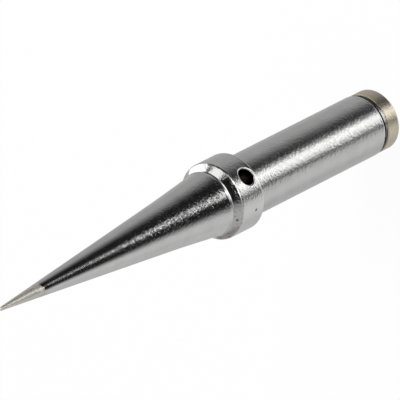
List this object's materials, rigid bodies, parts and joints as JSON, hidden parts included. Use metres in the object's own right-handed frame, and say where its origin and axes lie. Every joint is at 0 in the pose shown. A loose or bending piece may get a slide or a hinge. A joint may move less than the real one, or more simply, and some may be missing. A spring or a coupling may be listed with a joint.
{
  "type": "soldering iron tip",
  "caption": "Long conical soldering iron tip, turned and plated, with a stepped collar, a cross hole in the collar, a plain round shank and a magnetic alloy slug at its rear end.",
  "frame": {"origin": "centre of the slug's flat rear face, on which the tip stands", "axes": "+Z along the tip's axis towards its point; -Y is the side with the collar's cross hole; +X completes the frame"},
  "size_m": [0.0064, 0.0064, 0.0453],
  "materials": {
    "plated_copper": "satin",
    "magnetic_alloy": "satin"
  },
  "bodies": {
    "root": {"tip_body": "plated_copper", "sensor_slug": "magnetic_alloy"}
  },
  "joints": []
}
